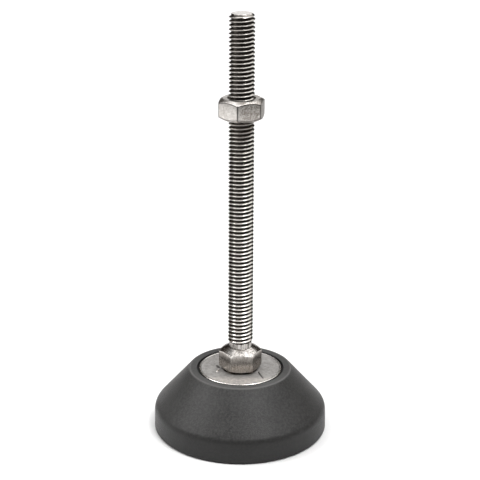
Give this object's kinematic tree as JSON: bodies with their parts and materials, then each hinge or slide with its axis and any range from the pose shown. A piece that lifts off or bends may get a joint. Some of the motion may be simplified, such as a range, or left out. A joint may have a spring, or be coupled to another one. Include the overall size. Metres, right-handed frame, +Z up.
{
  "type": "furniture levelling foot",
  "caption": "Levelling foot: a threaded stud with a lock nut and spanner hexagon, on a ball joint under a steel plate in a conical plastic base with a rubber pad.",
  "frame": {"origin": "middle of the foot on the floor, under the axis of the upright stud", "axes": "+Z is up along the stud; +X points to the right of the pictured view and +Y away from it"},
  "size_m": [0.0556, 0.0556, 0.135],
  "materials": {
    "polyamide": "fine-grained moulded glass-filled polyamide, dark grey",
    "rubber": "matte moulded rubber, black",
    "acetal": "smooth natural acetal",
    "plate_steel": "lightly brushed stainless steel with a bright rounded edge",
    "ball_steel": "turned steel, lightly greased",
    "stud_steel": "bright drawn and rolled stainless steel",
    "nut_steel": "bright cold-formed stainless steel"
  },
  "bodies": {
    "foot": {"base_body": "polyamide", "antislip_pad": "rubber", "retaining_plate": "plate_steel"},
    "seat": {"ball_seat": "acetal"},
    "ball": {"pivot_ball": "ball_steel"},
    "stud": {"threaded_stud": "stud_steel"},
    "nut": {"hex_nut": "nut_steel"}
  },
  "joints": [
    {"name": "ball_swivel", "type": "hinge", "parent": "foot", "child": "seat", "pos_m": [0, 0, 0], "axis": [0, 0, 1], "continuous": true},
    {"name": "ball_tilt", "type": "hinge", "parent": "seat", "child": "ball", "pos_m": [0, 0, 0.01442], "axis": [1, 0, 0], "range_deg": [-4, 4]},
    {"name": "stud_spin", "type": "hinge", "parent": "ball", "child": "stud", "pos_m": [0, 0, 0], "axis": [0, 0, 1], "continuous": true},
    {"name": "nut_travel", "type": "slide", "parent": "stud", "child": "nut", "axis": [0, 0, 1], "range_m": [-0.0725, 0.025]}
  ]
}
